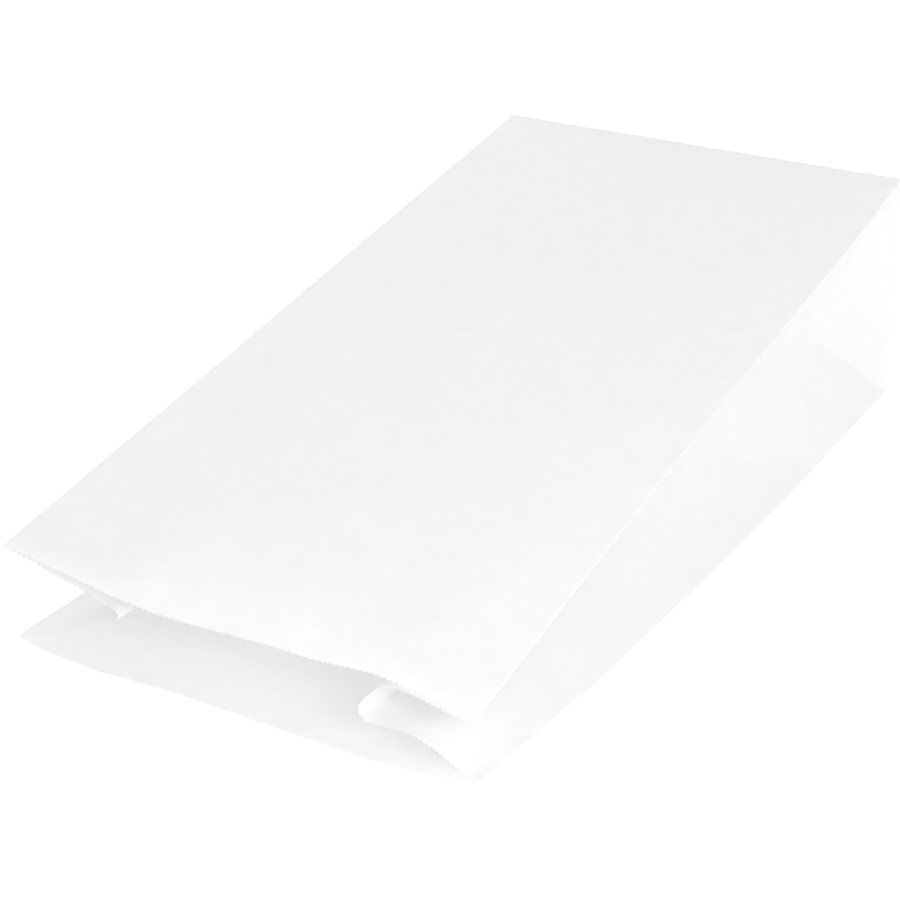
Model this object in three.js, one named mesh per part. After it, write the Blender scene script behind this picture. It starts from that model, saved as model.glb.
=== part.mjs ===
import * as THREE from 'three';
import { mergeVertices } from 'three/addons/utils/BufferGeometryUtils.js';

// An empty white kraft paper bag with a block bottom, lying open on its back panel.
// Millimetres. X is across the bag, +Y runs from the mouth to the bottom, +Z is up.
// A station is a distance from the mouth, measured along the back panel.

// The stock size of the bag: width and depth of its bottom, and length of its panels.
const BAG_WIDTH = 130;
const BAG_DEPTH = 70;
const BAG_LENGTH = 250;
// The wall is thicker than the sheet, so that it stays one sound body.
const WALL = 0.8;

// Standing height of the front panel's two long edges at the mouth. The bottom holds them
// a whole depth apart from the back panel at the other end.
const MOUTH_HEIGHT_LEFT = 25.2;
const MOUTH_HEIGHT_RIGHT = 19.4;
const BOTTOM_HEIGHT = BAG_DEPTH - 0.3;
// Both wide panels have the same length, but the front one climbs, so it reaches less far.
const FRONT_CLIMB = (BOTTOM_HEIGHT - (MOUTH_HEIGHT_LEFT + MOUTH_HEIGHT_RIGHT) / 2) / BAG_LENGTH;
const FRONT_SHORTFALL = 1 - Math.sqrt(1 - FRONT_CLIMB ** 2);

// The bottom was once folded flat on the front panel: that crease lies half a depth up it,
// and the right edge is a little low there.
const CREASE_STATION = BAG_LENGTH - BAG_DEPTH / 2;
const CREASE_SINK = 0.8;
// Each side panel is creased down its middle. The crease ends in a point near the bottom,
// from which two diagonals run to the bottom's corners.
const HALF_GUSSET = BAG_DEPTH / 2;
const POINT_STATION = BAG_LENGTH - 0.45 * BAG_DEPTH;
// The crease is a blunt fold of this height, wider at the mouth, where the paper is springy.
const RIDGE_HEIGHT = 1;
const MOUTH_RIDGE_LEFT = 1.4;
const MOUTH_RIDGE_RIGHT = 3.8;

// The lower edges bow outward and the right upper edge bows inward: how far, and the
// stations between which they do. The left upper edge splays a little towards the mouth.
const LOWER_BOW = { width: 1.8, from: 40, to: BAG_LENGTH };
const RIGHT_UPPER_BOW = { width: -1.5, from: -60, to: CREASE_STATION };
const LEFT_SPLAY = 0.9;
// The mouth's two lower corners curl up off the table: height, length and width of each curl.
const CURL_LEFT = { height: 1.8, length: 30, width: 12 };
const CURL_RIGHT = { height: 4.5, length: 50, width: 36 };

// The front panel sags left of its middle at the mouth and swells to the right of it. Each
// wave has a height, a centre and half width across the bag, and a length along it.
const FRONT_WAVES = [
  { height: -3.1, centre: -24, reach: 44, length: 150 },
  { height: 2.4, centre: 41, reach: 23, length: 130 },
];
// The right gusset presses up against the front panel at the mouth, and its lower half
// arches. Each arch has a height, a place along the half gusset and a length along the bag.
const RIGHT_UPPER_ARCH = { height: 5, peak: 0.7, length: 62 };
const RIGHT_LOWER_ARCH = { height: 2.8, peak: 0.5, length: 62 };
// Where two panels press together, their outsides stay two walls apart.
const PRESSED = 2 * WALL;
// The right crease is blunt at the mouth, so it stands this much less deep and higher up.
const MOUTH_SHALLOW_RIGHT = 3.2;
const MOUTH_RAISE_RIGHT = 2.6;

// The steepest mitre where the inside turns a corner, as the cosine of half the turn.
const LEAST_MITRE = 0.35;
// Points closer than this are one point, and runs enclosing less than this are parallel.
const SAME_POINT = 1e-4;
const PARALLEL = 1e-12;

// How finely the sheet is divided across each panel and along the bag.
const ACROSS_PANEL = 16;
const ACROSS_HALF_GUSSET = 8;
const STATIONS = [
  0, 3, 8, 15, 23, 32, 42, 54, 67, 82, 98, 115, 132, 149, 166, 183, 200,
  CREASE_STATION, POINT_STATION, 226, 233, 240, 246, BAG_LENGTH,
];

const PAPER_WHITE = new THREE.Color(0.93, 0.93, 0.925);

const { clamp, lerp } = THREE.MathUtils;

// Falls smoothly from 1 at the mouth to 0 at the given station.
function fade(station, length) {
  const left = clamp(1 - station / length, 0, 1);
  return left * left * (3 - 2 * left);
}

// A smooth hump of height 1 at peak, which is 0 at both ends of the span 0 to 1.
function hump(t, peak) {
  const side = t < peak ? t / peak : (1 - t) / (1 - peak);
  return side * side * (3 - 2 * side);
}

function upperEdgeHeight(station, right) {
  const mouthHeight = right ? MOUTH_HEIGHT_RIGHT : MOUTH_HEIGHT_LEFT;
  const height = lerp(mouthHeight, BOTTOM_HEIGHT, station / BAG_LENGTH);
  const reach = station < CREASE_STATION
    ? station / CREASE_STATION
    : (BAG_LENGTH - station) / (BAG_LENGTH - CREASE_STATION);
  return right ? height - CREASE_SINK * reach : height;
}

function bowWidth(bow, station) {
  return bow.width * Math.sin(Math.PI * clamp((station - bow.from) / (bow.to - bow.from), 0, 1));
}

function curlHeight(x, station) {
  let height = 0;
  for (const [curl, outward] of [[CURL_LEFT, -x], [CURL_RIGHT, x]]) {
    const along = clamp(1 - station / curl.length, 0, 1);
    const across = clamp((outward - BAG_WIDTH / 2 + curl.width) / curl.width, 0, 1);
    height += curl.height * along * across * across;
  }
  return height;
}

// The four corner creases of the cross section, as points across and up.
function cornerPoints(station) {
  const half = BAG_WIDTH / 2;
  const lowerX = half + bowWidth(LOWER_BOW, station);
  const upperLeftX = -half - LEFT_SPLAY * (1 - station / BAG_LENGTH);
  const upperRightX = half + bowWidth(RIGHT_UPPER_BOW, station);
  return {
    upperLeft: new THREE.Vector2(upperLeftX, upperEdgeHeight(station, false)),
    upperRight: new THREE.Vector2(upperRightX, upperEdgeHeight(station, true)),
    lowerRight: new THREE.Vector2(lowerX, curlHeight(half, station)),
    lowerLeft: new THREE.Vector2(-lowerX, curlHeight(-half, station)),
  };
}

// The two points of a gusset's fold. Both half gussets keep their width, so the fold goes in
// as the upper and lower edges come together. Between the point and the bottom the two
// points part, along the diagonals to the bottom's corners.
function foldPoints(station, right) {
  const foldStation = Math.min(station, POINT_STATION);
  const corners = cornerPoints(foldStation);
  const upper = right ? corners.upperRight : corners.upperLeft;
  const lower = right ? corners.lowerRight : corners.lowerLeft;
  const inward = right ? -1 : 1;
  const atMouth = fade(foldStation, RIGHT_UPPER_ARCH.length);
  const rise = upper.clone().sub(lower);
  const depth = Math.sqrt(HALF_GUSSET ** 2 - (rise.length() / 2) ** 2);
  const across = new THREE.Vector2(rise.y, -rise.x).normalize().multiplyScalar(inward * depth);
  const fold = upper.clone().add(lower).multiplyScalar(0.5).add(across);
  if (right) {
    fold.x += MOUTH_SHALLOW_RIGHT * atMouth;
    fold.y += MOUTH_RAISE_RIGHT * atMouth;
  }
  const mouthRidge = right ? MOUTH_RIDGE_RIGHT : MOUTH_RIDGE_LEFT;
  const halfRidge = lerp(RIDGE_HEIGHT, mouthRidge, atMouth) / 2;
  const foldUpper = fold.clone().setY(fold.y + halfRidge);
  const foldLower = fold.clone().setY(fold.y - halfRidge);
  if (station > POINT_STATION) {
    const toBottom = (station - POINT_STATION) / (BAG_LENGTH - POINT_STATION);
    const bottom = cornerPoints(BAG_LENGTH);
    foldUpper.lerp(right ? bottom.upperRight : bottom.upperLeft, toBottom);
    foldLower.lerp(right ? bottom.lowerRight : bottom.lowerLeft, toBottom);
  }
  return [foldUpper, foldLower];
}

// A straight run of points from one point to another, raised by a rule of the point.
function run(from, to, pieces, raise) {
  const points = [];
  for (let i = 0; i <= pieces; i += 1) {
    const point = from.clone().lerp(to, i / pieces);
    point.y += raise(point.x, i / pieces);
    points.push(point);
  }
  return points;
}

function frontWave(x, station) {
  let height = 0;
  for (const wave of FRONT_WAVES) {
    const across = clamp(1 - Math.abs(x - wave.centre) / wave.reach, 0, 1);
    height += wave.height * fade(station, wave.length) * across * across * (3 - 2 * across);
  }
  return height;
}

// A point held down to a pressed ply's distance under the run of points above it.
function pressUnder(point, above) {
  const next = Math.max(above.findIndex((other) => other.x >= point.x), 1);
  const [a, b] = [above[next - 1], above[next]];
  const height = lerp(a.y, b.y, clamp((point.x - a.x) / (b.x - a.x), 0, 1));
  return new THREE.Vector2(point.x, Math.min(point.y, height - PRESSED));
}

// The outside of the bag at a station, as four runs of points: front panel from left to
// right, right gusset downward, back panel from right to left, left gusset upward.
function section(station) {
  const { upperLeft, upperRight, lowerRight, lowerLeft } = cornerPoints(station);
  const [rightUpper, rightLower] = foldPoints(station, true);
  const [leftUpper, leftLower] = foldPoints(station, false);
  const flat = () => 0;
  const arch = ({ height, peak, length }) => (
    (x, t) => height * fade(station, length) * hump(t, peak)
  );
  const front = run(upperLeft, upperRight, ACROSS_PANEL, (x) => frontWave(x, station));
  const halfGusset = run(upperRight, rightUpper, ACROSS_HALF_GUSSET, arch(RIGHT_UPPER_ARCH));
  return [
    front,
    [
      ...halfGusset.map((point, i) => (i === 0 ? point : pressUnder(point, front))),
      ...run(rightLower, lowerRight, ACROSS_HALF_GUSSET, arch(RIGHT_LOWER_ARCH)),
    ],
    run(lowerRight, lowerLeft, ACROSS_PANEL, (x, t) => (
      curlHeight(x, station) - lerp(lowerRight.y, lowerLeft.y, t)
    )),
    [
      ...run(lowerLeft, leftLower, ACROSS_HALF_GUSSET, flat),
      ...run(leftUpper, upperLeft, ACROSS_HALF_GUSSET, flat),
    ],
  ];
}

// A run moved to the inside of the bag by the wall, which lies to the right of its way.
function insetRun(points) {
  return points.map((point, i) => {
    const before = points[Math.max(i - 1, 0)];
    const after = points[Math.min(i + 1, points.length - 1)];
    const into = point.clone().sub(before);
    const out = after.clone().sub(point);
    if (into.lengthSq() === 0) into.copy(out);
    if (out.lengthSq() === 0) out.copy(into);
    into.normalize();
    out.normalize();
    const normal = new THREE.Vector2(into.y + out.y, -into.x - out.x).normalize();
    const stretch = 1 / Math.max(normal.x * into.y - normal.y * into.x, LEAST_MITRE);
    return point.clone().addScaledVector(normal, WALL * stretch);
  });
}

function crossing(a, b, c, d) {
  const ab = b.clone().sub(a);
  const cd = d.clone().sub(c);
  const ac = c.clone().sub(a);
  const area = ab.cross(cd);
  if (Math.abs(area) < PARALLEL) return null;
  const t = ac.cross(cd) / area;
  const u = ac.cross(ab) / area;
  return t >= 0 && t <= 1 && u >= 0 && u <= 1 ? a.clone().addScaledVector(ab, t) : null;
}

// Two inset runs overlap where they meet in a corner. Both are cut where they cross, and
// what is cut off gathers at the crossing. Of several crossings the farthest in counts.
function trimCorner(runA, runB) {
  for (let i = 0; i < runA.length - 1; i += 1) {
    for (let j = runB.length - 1; j > 0; j -= 1) {
      const point = crossing(runA[i], runA[i + 1], runB[j], runB[j - 1]);
      if (point) {
        runA.fill(point, i + 1);
        runB.fill(point, 0, j);
        return;
      }
    }
  }
  throw new Error('the insides of two panels do not meet');
}

function insideSection(station) {
  const runs = section(station).map(insetRun);
  runs.forEach((one, i) => trimCorner(one, runs[(i + 1) % runs.length]));
  return runs;
}

// One closed ring of points in space: each run without its last point, which the next has.
function ring(runs, station) {
  const upper = (upperEdgeHeight(station, false) + upperEdgeHeight(station, true)) / 2;
  return runs.flatMap((points) => points.slice(0, -1)).map((point) => (
    new THREE.Vector3(point.x, station * (1 - FRONT_SHORTFALL * point.y / upper), point.y)
  ));
}

function bagGeometry() {
  const outside = STATIONS.map((station) => ring(section(station), station));
  const inside = STATIONS.map((station) => {
    const inner = Math.min(station, BAG_LENGTH - WALL);
    return ring(insideSection(inner), inner);
  });
  const rings = [...outside.reverse(), ...inside];
  const count = rings[0].length;
  const corners = [];
  for (let r = 0; r < rings.length - 1; r += 1) {
    for (let i = 0; i < count; i += 1) {
      const next = (i + 1) % count;
      const [a, b] = [rings[r][i], rings[r][next]];
      const [c, d] = [rings[r + 1][i], rings[r + 1][next]];
      corners.push(a, c, b, b, c, d);
    }
  }
  for (const [end, flip] of [[rings[0], false], [rings.at(-1), true]]) {
    const middle = end.reduce((sum, p) => sum.add(p), new THREE.Vector3()).divideScalar(count);
    end.forEach((point, i) => {
      const next = end[(i + 1) % count];
      corners.push(middle, flip ? next : point, flip ? point : next);
    });
  }
  const loose = new THREE.BufferGeometry().setFromPoints(corners);
  const joined = mergeVertices(loose, SAME_POINT);
  const index = joined.getIndex().array;
  const kept = [];
  for (let i = 0; i < index.length; i += 3) {
    const [a, b, c] = index.slice(i, i + 3);
    if (a !== b && b !== c && c !== a) kept.push(a, b, c);
  }
  joined.setIndex(kept);
  joined.computeVertexNormals();
  return joined;
}

const object = new THREE.Group();
object.name = 'paper_bag';

const bag = new THREE.Mesh(
  bagGeometry(),
  new THREE.MeshStandardMaterial({ name: 'white_kraft', color: PAPER_WHITE, roughness: 0.85 }),
);
bag.name = 'bag';
bag.position.y = -BAG_LENGTH / 2;
object.add(bag);

export default object;
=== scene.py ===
import math

import bpy
import numpy as np
from mathutils import Matrix, Vector


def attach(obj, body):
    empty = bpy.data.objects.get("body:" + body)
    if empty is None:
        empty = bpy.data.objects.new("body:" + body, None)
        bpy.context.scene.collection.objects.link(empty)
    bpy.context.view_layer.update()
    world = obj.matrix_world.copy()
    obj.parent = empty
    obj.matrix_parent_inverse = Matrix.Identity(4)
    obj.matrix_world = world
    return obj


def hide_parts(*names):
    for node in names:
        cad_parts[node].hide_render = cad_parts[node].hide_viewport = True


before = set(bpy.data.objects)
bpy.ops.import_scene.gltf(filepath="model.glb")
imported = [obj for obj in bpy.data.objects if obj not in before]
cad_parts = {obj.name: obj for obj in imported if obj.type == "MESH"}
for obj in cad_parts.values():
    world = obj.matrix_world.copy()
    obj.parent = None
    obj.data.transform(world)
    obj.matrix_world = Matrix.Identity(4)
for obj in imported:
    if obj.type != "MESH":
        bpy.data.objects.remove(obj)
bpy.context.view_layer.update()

# An empty white kraft paper bag with a block bottom, lying open on its back panel.
# The sheet is worked out in millimetres. A station is a distance from the mouth along the
# back panel, and the girth coordinate runs round the bag: over the front panel from left to
# right, down the right gusset, back under the bag and up the left gusset.
BAG_WIDTH = 130.0
BAG_DEPTH = 70.0
BAG_LENGTH = 250.0
PAPER = 0.11
HALF_WIDTH = BAG_WIDTH / 2
HALF_GUSSET = BAG_DEPTH / 2

# The front panel climbs from the mouth to the bottom, so it reaches less far along the bag.
BOTTOM_HEIGHT = BAG_DEPTH - 0.3
MOUTH_HEIGHT_LEFT = 25.2
MOUTH_HEIGHT_RIGHT = 19.4
FRONT_CLIMB = (BOTTOM_HEIGHT - (MOUTH_HEIGHT_LEFT + MOUTH_HEIGHT_RIGHT) / 2) / BAG_LENGTH
FRONT_SHORTFALL = 1 - math.sqrt(1 - FRONT_CLIMB**2)
# The right upper edge sinks most at the crease across the front panel.
CREASE_STATION = BAG_LENGTH - BAG_DEPTH / 2
CREASE_SINK = 0.8
# Waves of the front panel at the mouth: height, middle, half width, length.
FRONT_WAVES = ((-3.1, -24.0, 44.0, 150.0), (2.4, 41.0, 23.0, 130.0))

# The gussets' edges bow in and out: width, and the stations where the bow starts and ends.
LOWER_BOW = (1.8, 40.0, BAG_LENGTH)
RIGHT_UPPER_BOW = (-1.5, -60.0, CREASE_STATION)
LEFT_SPLAY = 0.9
FOOT_SPLAY_LEFT = 0.4
# The mouth's lower corners curl up: height, length along the bag, width. The left one also
# comes in, by this share of its height.
CURL_LEFT = (1.35, 30.0, 12.0)
CURL_RIGHT = (4.5, 50.0, 36.0)
CURL_DRAWS_IN = 1.22

# The gussets' folds end at the point where the bottom's diagonals meet. Towards it they come
# out a little and sink. Each fold's two sides lie a ridge apart.
POINT_STATION = 216.2
POINT_OUT = 1.1
POINT_SINK = 1.2
POINT_REACH = 70.0
RIDGE_HEIGHT = 1.0
MOUTH_RIDGE_LEFT = 1.4
MOUTH_RIDGE_RIGHT = 3.8
# At the mouth the right fold stands further out and higher, and the left one further in.
MOUTH_SHALLOW_RIGHT = 3.2
MOUTH_RAISE_RIGHT = 2.6
MOUTH_DEEP_LEFT = 1.5
# There the right gusset's halves arch: height, where the arch peaks, length.
RIGHT_UPPER_ARCH = (5.0, 0.7, 62.0)
RIGHT_LOWER_ARCH = (2.8, 0.5, 62.0)
# The right gusset stays this far under the front panel.
PRESSED = 1.0
PRESS_EASE = 3.0

# Each gusset's fold is rounded over this half width of paper, which grows at the mouth and
# runs out before the point. The fold's tip is drawn in by a little.
FOLD_ROUND = 0.9
FOLD_ROUND_MOUTH_LEFT = 0.9
FOLD_ROUND_MOUTH_RIGHT = 2.4
FOLD_ROUND_LENGTH = 70.0
FOLD_ROUND_END = 12.0
FOLD_ROUND_LEAST = 0.05
FOLD_TIP = 0.3

# Where the panels' edges and folds lie round the girth.
RIGHT_EDGE = BAG_WIDTH
RIGHT_FOLD = RIGHT_EDGE + HALF_GUSSET
RIGHT_FOOT = RIGHT_EDGE + BAG_DEPTH
LEFT_FOOT = RIGHT_FOOT + BAG_WIDTH
LEFT_FOLD = LEFT_FOOT + HALF_GUSSET
GIRTH = LEFT_FOOT + BAG_DEPTH

# Each gusset has buckled along two lines. One runs from the upper edge to the fold, on to
# the lower edge; the other comes back from there to the fold, at the knee.
BUCKLES = {
    "right": {"upper": 131.0, "fold": 140.0, "lower": 187.0, "knee": 211.5},
    "left": {"upper": 124.0, "fold": 146.0, "lower": 181.0, "knee": 213.0},
}

# The long corner folds are rounded. Columns lie at these two distances from each corner, and
# the panels settle back onto their planes within the blend.
CORNER = (0.17, 0.42)
FOLD_RADIUS = 0.2
FOLD_BLEND = 7.0
# The panels' slopes are read this many columns from the corner, and this many are moved.
SLOPE_COLUMNS = 4
MOVED_COLUMNS = 8

# Columns of the grid across a front or back panel, and across a half gusset. The rows stand
# closer between the right gusset's buckle and the point.
PANEL_COLUMNS = 84
GUSSET_COLUMNS = 23
MOUTH_ROWS = 73
BUCKLE_ROWS = 24
# The first row behind the mouth's edge.
FIRST_ROW = 2.0

# The glued seam along the back panel: two plies from near the right foot to the free edge.
SEAM_START = RIGHT_FOOT + 2.0
SEAM_EASE = 2.5
SEAM_EDGE = RIGHT_FOOT + 10 * BAG_WIDTH / PANEL_COLUMNS
SEAM_STEP = 0.08

# The bottom's two flaps lap by this much, and stop short of the bottom's edges. The upper one
# climbs onto the other: it starts this far before the lap, and the climb is this long.
FLAP_LAP = 16.0
FLAP_INSET = 0.7
FLAP_GAP = 0.015
FLAP_TEETH = 44
FLAP_CLIMB_START = 5.0
FLAP_CLIMB_LENGTH = 4.0

# The saw cut of the mouth. Only gaps between columns at least this wide hold a notch.
TOOTH_DEPTH = 0.62
TOOTH_LEAST = 1.2
# The back panel's mouth edge bows out a little left of the middle.
MOUTH_BOW = {"reach": 1.6, "centre": -42.0, "half": 30.0, "length": 45.0}

# The soft crease across the front panel, as girth and station. It is a narrow groove in a
# wider, low ridge, and each has a height and a half width.
FRONT_CREASE = ((0, 210), (66, 206), (82, 214.5), (112, 215), (RIGHT_EDGE, 210))
CREASE_GROOVE = (0.20, 2.8)
CREASE_RIDGE = (0.20, 9.0)

# Soft ridges and dents, each from one point to another: girth, station, height, half width.
FRONT_MARKS = (
    ((9, 214), (20, 240), 0.42, 4.5),
    ((65, 208), (61, 236), 0.40, 4.0),
    ((61, 236), (62, 249), 0.30, 3.0),
    ((86, 219), (89, 243), 0.30, 3.5),
    ((60, 205), (50, 176), 0.16, 6.0),
    ((40, 208), (34, 190), 0.10, 6.0),
    ((100, 214), (126, 226), -0.28, 6.0),
    ((14, 236), (36, 246), -0.20, 6.0),
    ((52, 60), (88, 112), -0.25, 12.0),
    ((38, 44), (58, 88), 0.16, 7.0),
)

# The paper's slow unevenness: height, wavelength, stretch along the bag, seed of the draw.
SHEET_RIPPLES = ((0.085, 46.0, 0.7, 11), (0.030, 15.0, 0.8, 12), (0.010, 5.0, 1.0, 13))
# The side panels were pressed flat and opened, so they are a little more uneven.
SIDE_RIPPLES = (0.10, 24.0, 0.8, 14)
# The same for the bottom and its flaps: height, wavelength, seed. The upper flap's seed is
# one more.
BOTTOM_RIPPLES = (0.10, 30.0, 15)
FLAP_RIPPLES = (0.02, 26.0, 21)
# The unevenness dies out towards the folds, the bottom's edge and the bottom's own sides.
FOLD_HOLD = 4.0
RIM_HOLD = 3.0
BOTTOM_HOLD = 6.0

# Colours of the pulp, of the dark between fibres and of the flecks.
PULP_DARK = (0.938, 0.938, 0.936)
PULP_LIGHT = (0.957, 0.957, 0.955)
FIBRE_DARK = (0.976, 0.976, 0.975)
FLECK = (0.90, 0.885, 0.85)
NO_CHANGE = (1, 1, 1)
# The share of light that each face of the sheet lets on.
LET_THROUGH = 0.45

# The table is a disc in metres, a hair under the seam's ply.
TABLE_RADIUS = 14
TABLE_DROP = 0.0003
TABLE_GLOW = 0.39
ROOM_LIGHT = 0.80

# The camera stands where the photograph was taken from. Metres and degrees.
AZIMUTH, ELEVATION = 30.88, 25.57
DISTANCE = 0.54054
TARGET = (-0.0078, -0.01489, 0.0195)
SENSOR, LENS = 36, 80.84

# Inside the bag light goes to and fro many times before it is gone.
LIGHT_BOUNCES = 24
DIFFUSE_BOUNCES = 12


def smooth(t):
    t = np.clip(t, 0, 1)
    return t * t * (3 - 2 * t)


def fade(station, length):
    return smooth(1 - station / length)


def hump(t, peak):
    return smooth(np.where(t < peak, t / peak, (1 - t) / (1 - peak)))


def mix(a, b, t):
    t = np.asarray(t, float)
    if np.ndim(a) > t.ndim:
        t = t[..., None]
    return a + (b - a) * t


def unit(vectors):
    return vectors / np.maximum(np.linalg.norm(vectors, axis=-1), 1e-9)[..., None]


def upper_edge_height(station, right):
    mouth = MOUTH_HEIGHT_RIGHT if right else MOUTH_HEIGHT_LEFT
    height = mix(mouth, BOTTOM_HEIGHT, station / BAG_LENGTH)
    reach = np.where(
        station < CREASE_STATION,
        station / CREASE_STATION,
        (BAG_LENGTH - station) / (BAG_LENGTH - CREASE_STATION),
    )
    return height - CREASE_SINK * reach if right else height


def bow_width(bow, station):
    width, start, end = bow
    return width * np.sin(np.pi * np.clip((station - start) / (end - start), 0, 1))


def curl_height(x, station):
    total = 0.0
    for (height, length, width), outward in ((CURL_LEFT, -x), (CURL_RIGHT, x)):
        along = np.clip(1 - station / length, 0, 1)
        across = np.clip((outward - HALF_WIDTH + width) / width, 0, 1)
        total = total + height * along * across * across
    return total


def front_wave(x, station):
    total = 0.0
    for height, centre, reach, length in FRONT_WAVES:
        across = np.clip(1 - np.abs(x - centre) / reach, 0, 1)
        total = total + height * fade(station, length) * smooth(across)
    return total


def place(x, z, station):
    """A point of the sheet in space, from where it is across, its height and its station."""
    upper = (upper_edge_height(station, False) + upper_edge_height(station, True)) / 2
    y = station * (1 - FRONT_SHORTFALL * z / upper)
    return np.stack(np.broadcast_arrays(x, y, z), axis=-1)


def upper_edge(station, right):
    if right:
        x = HALF_WIDTH + bow_width(RIGHT_UPPER_BOW, station)
    else:
        x = -HALF_WIDTH - LEFT_SPLAY * (1 - station / BAG_LENGTH)
    return x, upper_edge_height(station, right)


def foot_width(station, right):
    """How far from the middle the back panel's edge is. Where the left corner curls up at the
    mouth it also comes in."""
    width = HALF_WIDTH + bow_width(LOWER_BOW, station)
    if not right:
        width = width + FOOT_SPLAY_LEFT * fade(station, LOWER_BOW[1])
        width = width - CURL_DRAWS_IN * curl_height(-HALF_WIDTH, station)
    return width


def lower_edge(station, right):
    side = 1 if right else -1
    return side * foot_width(station, right), curl_height(side * HALF_WIDTH, station)


def fold_points(station, right):
    """The fold's two sides: where the upper half gusset ends and the lower one starts."""
    station = np.minimum(station, POINT_STATION)
    ux, uz = upper_edge(station, right)
    lx, lz = lower_edge(station, right)
    rise = np.hypot(ux - lx, uz - lz)
    depth = np.sqrt(HALF_GUSSET**2 - (rise / 2) ** 2)
    inward = -1 if right else 1
    x = (ux + lx) / 2 + inward * depth * (uz - lz) / rise
    z = (uz + lz) / 2 - inward * depth * (ux - lx) / rise
    near_point = smooth(1 - (POINT_STATION - station) / POINT_REACH)
    x = x - inward * POINT_OUT * near_point
    z = z - POINT_SINK * near_point
    at_mouth = fade(station, RIGHT_UPPER_ARCH[2])
    if right:
        x = x + MOUTH_SHALLOW_RIGHT * at_mouth
        z = z + MOUTH_RAISE_RIGHT * at_mouth
    else:
        x = x + MOUTH_DEEP_LEFT * at_mouth
    ridge = mix(RIDGE_HEIGHT, MOUTH_RIDGE_RIGHT if right else MOUTH_RIDGE_LEFT, at_mouth)
    return (x, z + ridge / 2), (x, z - ridge / 2)


def front_height(x, station):
    left, right = upper_edge(station, False), upper_edge(station, True)
    across = np.clip((x - left[0]) / (right[0] - left[0]), 0, 1)
    return mix(left[1], right[1], across) + front_wave(x, station)


def front_panel(girth, station):
    across = girth / BAG_WIDTH
    left, right = upper_edge(station, False), upper_edge(station, True)
    x = mix(left[0], right[0], across)
    z = mix(left[1], right[1], across) + front_wave(x, station)
    return place(x, z, station)


def back_panel(girth, station):
    across = (girth - RIGHT_FOOT) / BAG_WIDTH
    x = mix(foot_width(station, True), -foot_width(station, False), across)
    point = place(x, curl_height(x, station), station)
    bulge = smooth(1 - np.abs(x - MOUTH_BOW["centre"]) / MOUTH_BOW["half"])
    point[..., 1] -= MOUTH_BOW["reach"] * bulge * fade(station, MOUTH_BOW["length"])
    return point


def half_gusset(inward, station, right, upper):
    """A point of a half gusset: inward is 0 at the panel's edge and 1 at the fold. Straight
    rulings join the edge to the fold, and they fan out where the gusset has buckled."""
    line = BUCKLES["right" if right else "left"]
    if upper:
        low, high = line["upper"], BAG_LENGTH
        near = station / (1 + inward * (line["fold"] / low - 1))
        slope = (POINT_STATION - line["fold"]) / (high - low)
        far = (station - inward * (line["fold"] - slope * low)) / (1 - inward * (1 - slope))
        mouthward = station < low + inward * (line["fold"] - low)
        at_edge = np.where(mouthward, near, far)
        at_fold = np.where(
            mouthward, near * line["fold"] / low, line["fold"] + slope * (far - low)
        )
    else:
        low = line["lower"]
        near = station / (1 + inward * (line["fold"] / low - 1))
        safe = np.maximum(inward, 1e-9)
        mouthward = station < low + inward * (line["fold"] - low)
        bottomward = station > low + inward * (line["knee"] - low)
        slope = (POINT_STATION - line["knee"]) / (BAG_LENGTH - low)
        far = station - inward * (line["knee"] - slope * low)
        far = far / np.maximum(1 - inward * (1 - slope), 1e-9)
        at_edge = np.where(bottomward, far, np.where(mouthward, near, low))
        at_fold = np.where(mouthward, near * line["fold"] / low, low + (station - low) / safe)
        at_fold = np.where(bottomward, line["knee"] + slope * (far - low), at_fold)
    at_edge = np.clip(at_edge, 0, BAG_LENGTH)
    at_fold = np.clip(at_fold, 0, POINT_STATION)
    ex, ez = (upper_edge if upper else lower_edge)(at_edge, right)
    fx, fz = fold_points(at_fold, right)[0 if upper else 1]
    point = mix(place(ex, ez, at_edge), place(fx, fz, at_fold), inward)
    if right:
        height, peak, length = RIGHT_UPPER_ARCH if upper else RIGHT_LOWER_ARCH
        along = inward if upper else 1 - inward
        point[..., 2] += height * fade(station, length) * hump(along, peak)
    return point


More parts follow.
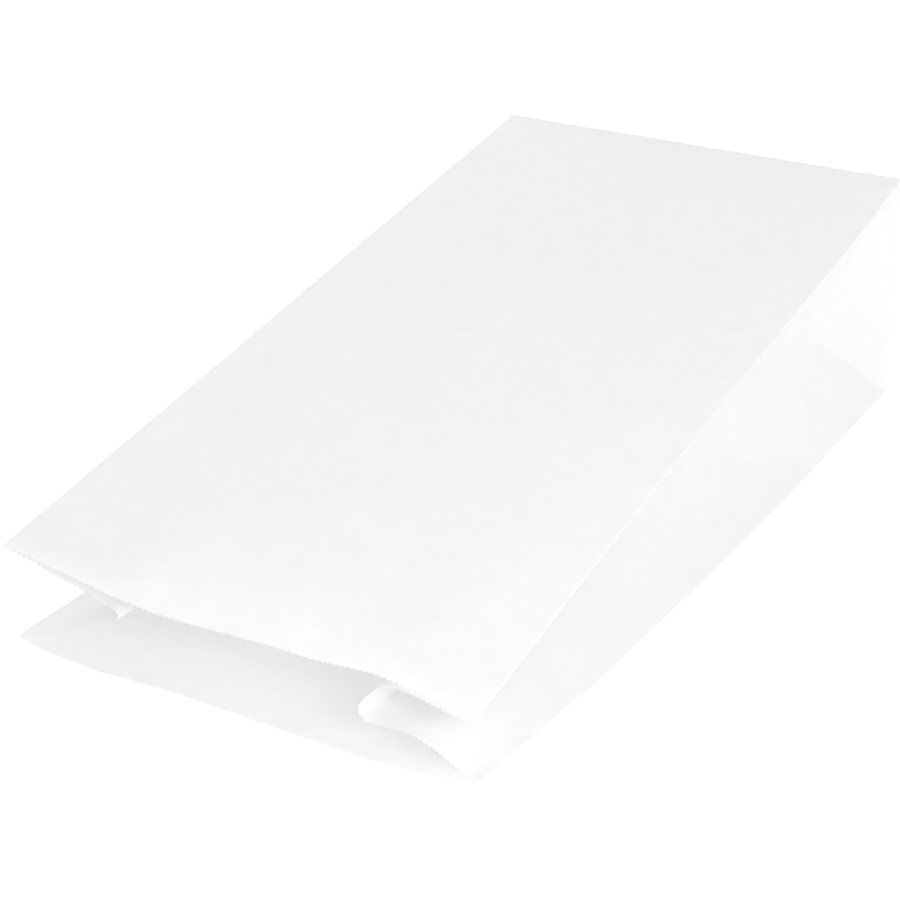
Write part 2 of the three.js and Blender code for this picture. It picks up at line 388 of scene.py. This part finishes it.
def gusset(down, station, right):
    """A point of a side panel: down is its distance from the upper edge along the paper."""
    upper = down <= HALF_GUSSET
    inward = np.clip(1 - np.abs(down - HALF_GUSSET) / HALF_GUSSET, 0, 1)
    point = np.where(
        upper[..., None],
        half_gusset(inward, station, right, True),
        half_gusset(inward, station, right, False),
    )
    # The fold is rounded, most where the paper stands free at the mouth.
    at_mouth = FOLD_ROUND_MOUTH_RIGHT if right else FOLD_ROUND_MOUTH_LEFT
    width = FOLD_ROUND + at_mouth * fade(station, FOLD_ROUND_LENGTH)
    width = width * np.clip((POINT_STATION - station) / FOLD_ROUND_END, FOLD_ROUND_LEAST, 1)
    t = (down - HALF_GUSSET + width) / (2 * width)
    inside = (t > 0) & (t < 1)
    share = 1 - width / HALF_GUSSET
    start = half_gusset(share, station, right, True)
    end = half_gusset(share, station, right, False)
    (x0, z0), (x1, z1) = fold_points(station, right)
    tip = place((x0 + x1) / 2 + (-FOLD_TIP if right else FOLD_TIP), (z0 + z1) / 2, station)
    t3 = np.clip(t, 0, 1)[..., None]
    rounded = (1 - t3) ** 2 * start + 2 * t3 * (1 - t3) * tip + t3**2 * end
    point = np.where(inside[..., None], rounded, point)
    # Past the diagonals lies the bottom's upright triangle.
    along = (BAG_LENGTH - station) / (BAG_LENGTH - POINT_STATION)
    beyond = along < inward
    top = place(*upper_edge(np.full_like(station, BAG_LENGTH), right), BAG_LENGTH)
    foot = place(*lower_edge(np.full_like(station, BAG_LENGTH), right), BAG_LENGTH)
    apex = place((x0 + x1) / 2, (z0 + z1) / 2, np.full_like(station, POINT_STATION))
    to_foot = (down - HALF_GUSSET * along) / BAG_DEPTH
    triangle = (
        top * (1 - along - to_foot)[..., None]
        + foot * to_foot[..., None]
        + apex * along[..., None]
    )
    point = np.where(beyond[..., None], triangle, point)
    if right:
        roof = front_height(point[..., 0], station) - PRESSED * smooth(down / PRESS_EASE)
        point[..., 2] = np.where(down > 0, np.minimum(point[..., 2], roof), point[..., 2])
    return point


def sheet(girth, station):
    """Where the plain sheet is, before its small relief."""
    girth = girth % GIRTH
    front = front_panel(girth, station)
    right = gusset(np.clip(girth - RIGHT_EDGE, 0, BAG_DEPTH), station, True)
    back = back_panel(girth, station)
    left = gusset(np.clip(GIRTH - girth, 0, BAG_DEPTH), station, False)
    point = np.where((girth <= RIGHT_EDGE)[..., None], front, right)
    point = np.where((girth > RIGHT_FOOT)[..., None], back, point)
    return np.where((girth > LEFT_FOOT)[..., None], left, point)


def ripples(a, b, length, seed, count=18):
    """Slow, even unevenness of about unit size with the given wavelength."""
    rng = np.random.default_rng(seed)
    total = 0.0
    for angle, phase, stretch in zip(
        rng.uniform(0, math.pi, count),
        rng.uniform(0, 2 * math.pi, count),
        rng.uniform(0.7, 1.4, count),
    ):
        k = 2 * math.pi * stretch / length
        total = total + np.cos(k * (a * math.cos(angle) + b * math.sin(angle)) + phase)
    return total * math.sqrt(2 / count) / 2


def line_reach(a, b, start, end):
    """Distance from a line, and how far along it, 0 to 1, the nearest point is."""
    way = np.subtract(end, start).astype(float)
    t = np.clip(((a - start[0]) * way[0] + (b - start[1]) * way[1]) / (way @ way), 0, 1)
    return np.hypot(a - start[0] - t * way[0], b - start[1] - t * way[1]), t


def bell(reach, half):
    return np.exp(-((reach / half) ** 2))


def front_marks(girth, station):
    """The front panel's ridges and dents. Each is highest half way along."""
    height = 0.0
    for start, end, size, half in FRONT_MARKS:
        reach, t = line_reach(girth, station, start, end)
        along = 0.55 + 0.45 * np.sin(np.pi * t)
        height = height + size * np.exp(-((reach / half) ** 2) * 2) * along
    return height


def front_crease(girth, station):
    reach = np.full_like(girth, 1e3)
    for start, end in zip(FRONT_CREASE, FRONT_CREASE[1:]):
        reach = np.minimum(reach, line_reach(girth, station, start, end)[0])
    (groove, groove_half), (ridge, ridge_half) = CREASE_GROOVE, CREASE_RIDGE
    return ridge * bell(reach, ridge_half) - groove * bell(reach, groove_half)


def relief(girth, station):
    """How far the paper stands out from the plain sheet."""
    girth = girth % GIRTH
    on_front = girth < RIGHT_EDGE
    height = on_front * (front_marks(girth, station) + front_crease(girth, station))
    for size, length, stretch, seed in SHEET_RIPPLES:
        height = height + size * ripples(girth, station * stretch, length, seed)
    on_side = ((girth > RIGHT_EDGE) & (girth < RIGHT_FOOT)) | (girth > LEFT_FOOT)
    size, length, stretch, seed = SIDE_RIPPLES
    height = height + on_side * size * ripples(girth, station * stretch, length, seed)
    edges = np.array([0, RIGHT_EDGE, RIGHT_FOLD, RIGHT_FOOT, LEFT_FOOT, LEFT_FOLD, GIRTH])
    nearest = np.abs(girth[..., None] - edges).min(-1)
    return height * smooth(nearest / FOLD_HOLD) * smooth((BAG_LENGTH - station) / RIM_HOLD)


def seam_ply(girth):
    """How much thicker the sheet is where the seam laps."""
    lapped = smooth((girth - SEAM_START) / SEAM_EASE)
    return PAPER * np.where(girth < SEAM_EDGE - SEAM_STEP / 2, lapped, 0)


def surface(girth, station):
    """The finished sheet's outside. Outward is found from the plain sheet, by small steps
    along and across it."""
    step = 0.4
    across = sheet(girth + step, station) - sheet(girth - step, station)
    near = np.clip(station - step, 0, BAG_LENGTH)
    along = sheet(girth, np.clip(station + step, 0, BAG_LENGTH)) - sheet(girth, near)
    outward = unit(np.cross(across, along))
    height = relief(girth, station) + seam_ply(girth)
    return sheet(girth, station) + outward * height[..., None]


def build_columns():
    """Girth coordinates of the columns, with close ones where the sheet turns a corner."""
    edges = [0, RIGHT_EDGE, RIGHT_FOLD, RIGHT_FOOT, LEFT_FOOT, LEFT_FOLD, GIRTH]
    pieces = [PANEL_COLUMNS, GUSSET_COLUMNS, GUSSET_COLUMNS] * 2
    step = SEAM_EDGE - SEAM_STEP - RIGHT_FOOT
    # The front panel has a column to match the seam's, so that the bottom's sides pair up.
    columns = [RIGHT_FOOT + step, RIGHT_EDGE - step]
    for start, end, count in zip(edges, edges[1:], pieces):
        columns += list(np.linspace(start, end, count + 1)[:-1])
        columns += [start + CORNER[0], start + CORNER[1], end - CORNER[1], end - CORNER[0]]
    return np.array(sorted(columns))


def build_rows():
    buckle, knee = BUCKLES["right"]["fold"], BUCKLES["right"]["lower"]
    rows = [0.0] + list(np.linspace(FIRST_ROW, buckle, MOUTH_ROWS))
    for start, end in ((buckle, knee), (knee, POINT_STATION), (POINT_STATION, BAG_LENGTH)):
        rows += list(np.linspace(start, end, BUCKLE_ROWS)[1:])
    return np.array(rows[:-1] + [BAG_LENGTH - CORNER[1], BAG_LENGTH - CORNER[0], BAG_LENGTH])


class Grid:
    """The sheet's vertices by row and column, with the creases that run along its edges."""

    def __init__(self):
        self.columns = build_columns()
        self.rows = build_rows()
        self.girth = np.tile(self.columns, (len(self.rows), 1))
        self.station = np.tile(self.rows[:, None], (1, len(self.columns)))
        self.held = np.zeros(self.girth.shape, bool)
        self.chains = []

    def nearest(self, point):
        row = int(np.argmin(np.abs(self.rows - point[1])))
        apart = np.abs((self.columns - point[0] + GIRTH / 2) % GIRTH - GIRTH / 2)
        return row, int(np.argmin(apart))

    def crease(self, start, end):
        """Moves the nearest vertices onto a line, so that a chain of edges follows it."""
        (r0, c0), (r1, c1) = self.nearest(start), self.nearest(end)
        count = len(self.columns)
        if end[0] == GIRTH:
            c1 = count
        if start[0] == GIRTH:
            c0 = count
        for r, c, p in ((r0, c0, start), (r1, c1, end)):
            self.station[r, c % count] = p[1]
            self.held[r, c % count] = True
        chain = [(r0, c0)]
        if abs(c1 - c0) >= abs(r1 - r0):
            for c in range(c0, c1, 1 if c1 > c0 else -1)[1:]:
                t = (self.columns[c % count] - start[0]) / (end[0] - start[0])
                at = start[1] + t * (end[1] - start[1])
                r = int(np.argmin(np.abs(self.rows - at)))
                if not self.held[r, c % count]:
                    self.station[r, c % count] = at
                    self.held[r, c % count] = True
                chain.append((r, c))
        else:
            for r in range(r0, r1, 1 if r1 > r0 else -1)[1:]:
                t = (self.rows[r] - start[1]) / (end[1] - start[1])
                at = start[0] + t * (end[0] - start[0])
                c = int(np.argmin(np.abs(self.columns - at)))
                if not self.held[r, c]:
                    self.girth[r, c] = at
                    self.held[r, c] = True
                chain.append((r, c))
        chain.append((r1, c1))
        self.chains.append([(r, c % count) for r, c in chain])


def vertex_normals(points, triangles):
    flat = points[triangles]
    normals = np.cross(flat[:, 1] - flat[:, 0], flat[:, 2] - flat[:, 0])
    total = np.zeros_like(points)
    for k in range(3):
        np.add.at(total, triangles[:, k], normals)
    return total / np.maximum(np.linalg.norm(total, axis=1), 1e-12)[:, None]


def as_triangles(faces):
    triangles = []
    for face in faces:
        for k in range(1, len(face) - 1):
            triangles.append((face[0], face[k], face[k + 1]))
    return np.array(triangles)


def make_piece(name, points, faces, sharp=()):
    """A closed mesh from points in millimetres, measured from the mouth, in the row frame."""
    mesh = bpy.data.meshes.new(name)
    placed = (np.asarray(points) - [0, BAG_LENGTH / 2, 0]) / 1000
    mesh.from_pydata(placed.tolist(), [], [tuple(int(i) for i in f) for f in faces])
    mesh.update()
    mesh.polygons.foreach_set("use_smooth", [True] * len(mesh.polygons))
    if sharp:
        wanted = {tuple(sorted(pair)) for pair in sharp}
        flags = [tuple(sorted(e.vertices)) in wanted for e in mesh.edges]
        layer = mesh.attributes.new("sharp_edge", "BOOLEAN", "EDGE")
        layer.data.foreach_set("value", flags)
    piece = bpy.data.objects.new(name, mesh)
    bpy.context.scene.collection.objects.link(piece)
    mesh.materials.append(paper)
    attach(piece, "root")
    return piece


def round_fold(body, columns, corner):
    """Rounds a long corner fold to FOLD_RADIUS, and keeps its two panels that far apart."""
    count = len(columns)
    c = int(np.argmin(np.abs(columns - corner)))
    tip = body[:, c].copy()
    before = unit(body[:, (c - SLOPE_COLUMNS) % count] - tip)
    after = unit(body[:, (c + SLOPE_COLUMNS) % count] - tip)
    half_angle = np.arccos(np.clip((before * after).sum(-1), -1, 1)) / 2
    inward, across = unit(before + after), unit(after - before)
    centre = tip + inward * FOLD_RADIUS
    turn = math.pi / 2 - half_angle
    for way, leg in ((-1, before), (1, after)):
        end = centre - inward * (FOLD_RADIUS * np.cos(turn))[:, None]
        end = end + way * across * (FOLD_RADIUS * np.sin(turn))[:, None]
        gap = end - tip - leg * (FOLD_RADIUS * turn)[:, None]
        for k in range(1, MOVED_COLUMNS + 1):
            column = (c + way * k) % count
            reach = abs((columns[column] - corner + GIRTH / 2) % GIRTH - GIRTH / 2)
            angle = reach / FOLD_RADIUS
            on_arc = centre - inward * (FOLD_RADIUS * np.cos(angle))
            on_arc = on_arc + way * across * (FOLD_RADIUS * np.sin(angle))
            on_leg = body[:, column] + gap * max(0.0, 1 - reach / FOLD_BLEND) ** 2
            body[:, column] = np.where((angle < turn)[:, None], on_arc, on_leg)


def bottom_relief(across, down):
    """How far the bottom stands out, from the distances to its left and upper edges."""
    inset = min(across, BAG_WIDTH - across, down, BAG_DEPTH - down)
    height, length, seed = BOTTOM_RIPPLES
    return height * float(ripples(across, down, length, seed) * smooth(inset / BOTTOM_HOLD))


def lay_creases(grid):
    """Lays the bottom's diagonals and both gussets' buckles along the grid's edges."""
    for side, edge, fold, foot in (
        ("right", RIGHT_EDGE, RIGHT_FOLD, RIGHT_FOOT),
        ("left", GIRTH, LEFT_FOLD, LEFT_FOOT),
    ):
        line = BUCKLES[side]
        apex, end = (fold, POINT_STATION), (foot, line["lower"])
        grid.crease(apex, (edge, BAG_LENGTH))
        grid.crease(apex, (foot, BAG_LENGTH))
        grid.crease((fold, line["knee"]), end)
        grid.crease(end, (fold, line["fold"]))
        grid.crease((fold, line["fold"]), (edge, line["upper"]))


def crease_edges(grid, index):
    """The edges that lie along the creases, and the quads that they cut across."""
    columns = index.shape[1]
    sharp, diagonals = [], set()
    for chain in grid.chains:
        for (r0, c0), (r1, c1) in zip(chain, chain[1:]):
            step = (c1 - c0 + columns // 2) % columns - columns // 2
            if abs(r1 - r0) > 1 or abs(step) > 1:
                continue
            sharp.append((int(index[r0, c0]), int(index[r1, c1])))
            if abs(r1 - r0) == 1 and abs(step) == 1:
                row, column = min(r0, r1), (c0 if step > 0 else c1)
                diagonals.add((row, column, (r1 - r0) * step > 0))
    return sharp, diagonals


def wall_faces(index, notch_of, diagonals):
    """Faces of the four walls. Those of the first row have the mouth's notches in them."""
    rows, columns = index.shape
    faces = []
    for r in range(rows - 1):
        for c in range(columns):
            d = (c + 1) % columns
            a, b, e, f = index[r, c], index[r, d], index[r + 1, d], index[r + 1, c]
            if r == 0 and c in notch_of:
                n = notch_of[c]
                faces += [(a, n, f), (n, e, f), (n, b, e)]
            elif (r, c, True) in diagonals:
                faces += [(a, b, e), (a, e, f)]
            elif (r, c, False) in diagonals:
                faces += [(a, b, f), (b, e, f)]
            else:
                faces.append((a, b, e, f))
    return faces


def bottom_sides(columns, last):
    """The last row's vertices along the bottom's upper, lower, left and right sides."""
    ends = (0, RIGHT_EDGE, RIGHT_FOOT, LEFT_FOOT)
    corner = [int(np.argmin(np.abs(columns - g))) for g in ends]
    top = last[corner[0] : corner[1] + 1]
    right = last[corner[1] : corner[2] + 1]
    back = last[corner[2] : corner[3] + 1][::-1]
    left = np.append(last[corner[3] :], last[0])[::-1]
    return top, back, left, right


def span_bottom(points, sides):
    """Spans the bottom between its four sides. Gives back the points with its own added, and
    its grid of vertices, from the upper side down."""
    top, back, left, right = sides

    def share(run):
        lengths = np.linalg.norm(np.diff(points[run], axis=0), axis=1)
        return np.concatenate([[0], np.cumsum(lengths) / lengths.sum()])

    s, t = share(top), share(right)
    cap = np.zeros((len(t), len(s)), int)
    cap[0], cap[-1], cap[:, 0], cap[:, -1] = top, back, left, right
    extra = []
    for k in range(1, len(t) - 1):
        for j in range(1, len(s) - 1):
            u, w = s[j], t[k]
            p = (
                (1 - w) * points[top[j]]
                + w * points[back[j]]
                + (1 - u) * points[left[k]]
                + u * points[right[k]]
                - (1 - u) * (1 - w) * points[top[0]]
                - u * (1 - w) * points[top[-1]]
                - (1 - u) * w * points[back[0]]
                - u * w * points[back[-1]]
            )
            p[1] += bottom_relief(u * BAG_WIDTH, w * BAG_DEPTH)
            cap[k, j] = len(points) + len(extra)
            extra.append(p)
    return np.vstack([points, extra]), cap


def round_rim(points, index, cap):
    """Rounds the bottom's four edges, each vertex of them and one on either side."""
    spots = {int(cap[k, j]): (k, j) for k in range(cap.shape[0]) for j in range(cap.shape[1])}
    moved = {}
    for c, i in enumerate(int(i) for i in index[-1]):
        k, j = spots[i]
        near = cap[np.clip(k, 1, cap.shape[0] - 2), np.clip(j, 1, cap.shape[1] - 2)]
        far = cap[np.clip(k, 2, cap.shape[0] - 3), np.clip(j, 2, cap.shape[1] - 3)]
        start, tip, end = points[index[-3, c]], points[i], points[far]
        for vertex, at in ((index[-2, c], 0.25), (i, 0.5), (near, 0.75)):
            moved[int(vertex)] = (1 - at) ** 2 * start + 2 * at * (1 - at) * tip + at**2 * end
    for vertex, p in moved.items():
        points[vertex] = p


def thicken(points, faces, sharp, thickness, mouth):
    """Closes the sheet: its inside follows the outside and is joined to it round the mouth."""
    count = len(points)
    inside = points - vertex_normals(points, as_triangles(faces)) * thickness[:, None]
    inner_faces = [tuple(i + count for i in reversed(face)) for face in faces]
    rim = list(zip(mouth, mouth[1:] + mouth[:1]))
    rim_faces = [(b, a, a + count, b + count) for a, b in rim]
    outer_sharp = sharp + rim
    inner_sharp = [(a + count, b + count) for a, b in outer_sharp]
    all_faces = faces + inner_faces + rim_faces
    return np.vstack([points, inside]), all_faces, outer_sharp + inner_sharp


def build_bag():
    grid = Grid()
    lay_creases(grid)
    rows, columns = grid.girth.shape
    # The mouth's saw cut has its teeth on the columns and its notches between them.
    gaps = np.diff(np.append(grid.columns, GIRTH))
    notched = np.where(gaps > TOOTH_LEAST)[0]
    notch_of = {int(c): rows * columns + k for k, c in enumerate(notched)}
    notch_girth = grid.columns[notched] + gaps[notched] / 2
    girth = np.concatenate([grid.girth.ravel(), notch_girth])
    station = np.concatenate([grid.station.ravel(), np.full(len(notched), TOOTH_DEPTH)])
    points = surface(girth, station)
    body = points[: rows * columns].reshape(rows, columns, 3)
    for corner in (0.0, RIGHT_EDGE, RIGHT_FOOT, LEFT_FOOT):
        round_fold(body, grid.columns, corner)

    index = np.arange(rows * columns).reshape(rows, columns)
    sharp, diagonals = crease_edges(grid, index)
    faces = wall_faces(index, notch_of, diagonals)
    points, cap = span_bottom(points, bottom_sides(grid.columns, index[-1]))
    for k in range(cap.shape[0] - 1):
        for j in range(cap.shape[1] - 1):
            faces.append((cap[k, j], cap[k, j + 1], cap[k + 1, j + 1], cap[k + 1, j]))
    round_rim(points, index, cap)

    thickness = np.full(len(points), PAPER)
    thickness[: len(girth)] += seam_ply(girth)
    mouth = []
    for c in range(columns):
        mouth.append(int(index[0, c]))
        if c in notch_of:
            mouth.append(notch_of[c])
    return thicken(points, faces, sharp, thickness, mouth)


def paper_material():
    """White machine-finished kraft: cloudy pulp, fibres along the bag and a faint sheen."""
    material = bpy.data.materials.new("white_kraft")
    material.use_nodes = True
    nodes, links = material.node_tree.nodes, material.node_tree.links
    nodes.clear()

    def add(kind, x, y, **inputs):
        node = nodes.new(kind)
        node.location = (x, y)
        for key, value in inputs.items():
            node.inputs[key.replace("_", " ")].default_value = value
        return node

    out = add("ShaderNodeOutputMaterial", 1100, 0)
    skin = add("ShaderNodeBsdfPrincipled", 600, 0)
    skin.inputs["Specular IOR Level"].default_value = 0.35
    # Each of the sheet's two faces lets part of the light on, so the bag glows when lit.
    through = add("ShaderNodeBsdfTranslucent", 600, -500)
    both = add("ShaderNodeMixShader", 900, 0)
    both.inputs["Fac"].default_value = LET_THROUGH
    links.new(skin.outputs["BSDF"], both.inputs[1])
    links.new(through.outputs["BSDF"], both.inputs[2])
    links.new(both.outputs["Shader"], out.inputs["Surface"])
    where = add("ShaderNodeTexCoord", -1500, 0)

    def spread(x, y, scale):
        node = add("ShaderNodeMapping", x, y)
        node.inputs["Scale"].default_value = scale
        links.new(where.outputs["Object"], node.inputs["Vector"])
        return node

    def noise(x, y, vector, scale, detail, rough):
        node = add("ShaderNodeTexNoise", x, y, Scale=scale, Detail=detail, Roughness=rough)
        links.new(vector.outputs["Vector"], node.inputs["Vector"])
        return node

    even = spread(-1250, 200, (1, 1, 1))
    drawn = spread(-1250, -200, (1, 0.28, 1))
    cloud = noise(-1000, 300, even, 210, 2, 0.55)
    fibre = noise(-1000, 50, drawn, 2600, 3, 0.62)
    fleck = add("ShaderNodeTexVoronoi", -1000, -450, Scale=520.0, Randomness=1.0)
    links.new(drawn.outputs["Vector"], fleck.inputs["Vector"])

    def ramp(x, y, source, stops):
        node = add("ShaderNodeValToRGB", x, y)
        while len(node.color_ramp.elements) < len(stops):
            node.color_ramp.elements.new(0.5)
        for element, (at, colour) in zip(node.color_ramp.elements, stops):
            element.position = at
            element.color = (*colour, 1)
        links.new(source, node.inputs["Fac"])
        return node

    clouds = ramp(-700, 300, cloud.outputs["Fac"], ((0.30, PULP_DARK), (0.70, PULP_LIGHT)))
    fibres = ramp(-700, 50, fibre.outputs["Fac"], ((0.30, FIBRE_DARK), (0.62, NO_CHANGE)))
    flecks = ramp(-700, -450, fleck.outputs["Distance"], ((0.028, FLECK), (0.06, NO_CHANGE)))

    def colour_mix(x, y, a, b):
        node = add("ShaderNodeMix", x, y)
        node.data_type = "RGBA"
        node.blend_type = "MULTIPLY"
        node.inputs[0].default_value = 1.0
        links.new(a, node.inputs[6])
        links.new(b, node.inputs[7])
        return node.outputs[2]

    tone = colour_mix(-400, 200, clouds.outputs["Color"], fibres.outputs["Color"])
    tone = colour_mix(-200, 200, tone, flecks.outputs["Color"])
    links.new(tone, skin.inputs["Base Color"])
    links.new(tone, through.inputs["Color"])

    gloss = add("ShaderNodeMapRange", -400, -100)
    gloss.inputs["From Min"].default_value = 0.3
    gloss.inputs["From Max"].default_value = 0.7
    gloss.inputs["To Min"].default_value = 0.50
    gloss.inputs["To Max"].default_value = 0.64
    links.new(fibre.outputs["Fac"], gloss.inputs["Value"])
    links.new(gloss.outputs["Result"], skin.inputs["Roughness"])

    rough = add("ShaderNodeBump", 0, -300, Strength=0.35)
    rough.inputs["Distance"].default_value = 0.00004
    links.new(fibre.outputs["Fac"], rough.inputs["Height"])
    links.new(rough.outputs["Normal"], skin.inputs["Normal"])
    links.new(rough.outputs["Normal"], through.inputs["Normal"])
    return material


paper = paper_material()

bag_points, bag_faces, bag_sharp = build_bag()
bag = make_piece("bag_paper", bag_points, bag_faces, bag_sharp)
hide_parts("bag")


def bottom_point(x, z, out):
    """A point of the bottom's outside, raised outward from it."""
    lean = math.atan2(BAG_LENGTH * FRONT_SHORTFALL, BOTTOM_HEIGHT)
    y = BAG_LENGTH * (1 - FRONT_SHORTFALL * z / BOTTOM_HEIGHT)
    return np.array([x, y + out * math.cos(lean), z + out * math.sin(lean)])


def build_flap(upper):
    """One of the bottom's two glued flaps: a trapezoid whose slanted sides start at the
    bottom's corners, with the saw cut along its free edge. The upper one laps the other."""
    reach = HALF_GUSSET + FLAP_LAP / 2
    height, length, seed = FLAP_RIPPLES
    rises = [0.0, 0.6, 1.2, 2.5] + list(np.linspace(4, reach - 2.0, 26)) + [reach - 1.0, reach]
    outside, under = [], []
    for rise in rises:
        half = HALF_WIDTH - FLAP_INSET - rise
        for k in range(2 * FLAP_TEETH + 1):
            x = half * (k / FLAP_TEETH - 1)
            at = rise - (TOOTH_DEPTH if rise == reach and k % 2 else 0.0)
            z = BOTTOM_HEIGHT - FLAP_INSET - at if upper else FLAP_INSET + at
            down = BOTTOM_HEIGHT - z
            clear = bottom_relief(x + HALF_WIDTH, down) + FLAP_GAP
            if upper:
                lap_start = BOTTOM_HEIGHT - 2 * FLAP_INSET - reach
                climb = smooth((at - lap_start + FLAP_CLIMB_START) / FLAP_CLIMB_LENGTH)
                clear += (PAPER + 2 * FLAP_GAP) * float(climb)
            clear += height * (1 + float(ripples(np.array(x), np.array(z), length, seed + upper)))
            outside.append(bottom_point(x, z, clear + PAPER))
            under.append(bottom_point(x, z, clear))
    points = np.array(outside + under)
    count = len(outside)
    width = 2 * FLAP_TEETH + 1
    lines = len(rises)
    faces = []

    def quad(a, b, c, d):
        faces.append((a, b, c, d) if upper else (d, c, b, a))

    for r in range(lines - 1):
        for k in range(width - 1):
            a, b = r * width + k, r * width + k + 1
            c, d = b + width, a + width
            quad(a, b, c, d)
            quad(d + count, c + count, b + count, a + count)
    border = list(range(width))
    border += [r * width + width - 1 for r in range(1, lines)]
    border += [(lines - 1) * width + k for k in range(width - 2, -1, -1)]
    border += [r * width for r in range(lines - 2, 0, -1)]
    for a, b in zip(border, border[1:] + border[:1]):
        quad(b, a, a + count, b + count)
    return points, faces


for flap_name, is_upper in (("bottom_flap_under", False), ("bottom_flap_over", True)):
    flap_points, flap_faces = build_flap(is_upper)
    make_piece(flap_name, flap_points, flap_faces)


bpy.ops.mesh.primitive_circle_add(
    vertices=96, radius=TABLE_RADIUS, fill_type="NGON", location=(0, 0, -TABLE_DROP)
)
floor = bpy.context.object
floor.name = "table_top"
floor_look = bpy.data.materials.new("white_table")
floor_look.use_nodes = True
floor_skin = floor_look.node_tree.nodes["Principled BSDF"]
floor_skin.inputs["Base Color"].default_value = (0.9, 0.9, 0.9, 1)
floor_skin.inputs["Roughness"].default_value = 0.9
floor_skin.inputs["Emission Color"].default_value = (1, 1, 1, 1)
floor_skin.inputs["Emission Strength"].default_value = TABLE_GLOW
floor.data.materials.append(floor_look)

# A bright white room, two large soft boxes behind and a small one near the mouth.
world = bpy.data.worlds.new("studio")
bpy.context.scene.world = world
world.use_nodes = True
world.node_tree.nodes["Background"].inputs["Color"].default_value = (1, 1, 1, 1)
world.node_tree.nodes["Background"].inputs["Strength"].default_value = ROOM_LIGHT


def soft_box(name, spot, aim, size, power):
    lamp = bpy.data.lights.new(name, "AREA")
    lamp.shape = "DISK"
    lamp.size = size
    lamp.energy = power
    holder = bpy.data.objects.new(name, lamp)
    holder.location = spot
    holder.rotation_euler = (Vector(spot) - Vector(aim)).to_track_quat("Z", "Y").to_euler()
    holder.visible_camera = False
    bpy.context.scene.collection.objects.link(holder)


soft_box("back_right_box", (1.0, 1.0, 1.41), (0, 0, 0), 1.1, 6.2)
soft_box("back_left_box", (-1.08, 1.08, 1.29), (0, 0, 0), 1.1, 9.0)
soft_box("mouth_box", (0.30, -0.30, 0.16), (0.04, -0.10, 0.02), 0.16, 0.48)

azimuth, elevation = math.radians(AZIMUTH), math.radians(ELEVATION)
back = Vector(
    (
        math.sin(azimuth) * math.cos(elevation),
        -math.cos(azimuth) * math.cos(elevation),
        math.sin(elevation),
    )
)
right_way = Vector((0, 0, 1)).cross(back).normalized()
up_way = back.cross(right_way)
lens = bpy.data.cameras.new("camera")
lens.sensor_width = SENSOR
lens.lens = LENS
camera = bpy.data.objects.new("camera", lens)
turn = Matrix((right_way, up_way, back)).transposed().to_4x4()
camera.matrix_world = Matrix.Translation(Vector(TARGET) + back * DISTANCE) @ turn
bpy.context.scene.collection.objects.link(camera)
bpy.context.scene.camera = camera
bpy.context.scene.view_settings.view_transform = "Standard"
bpy.context.scene.cycles.max_bounces = LIGHT_BOUNCES
bpy.context.scene.cycles.transmission_bounces = LIGHT_BOUNCES
bpy.context.scene.cycles.diffuse_bounces = DIFFUSE_BOUNCES
bpy.context.scene.cycles.use_light_tree = False
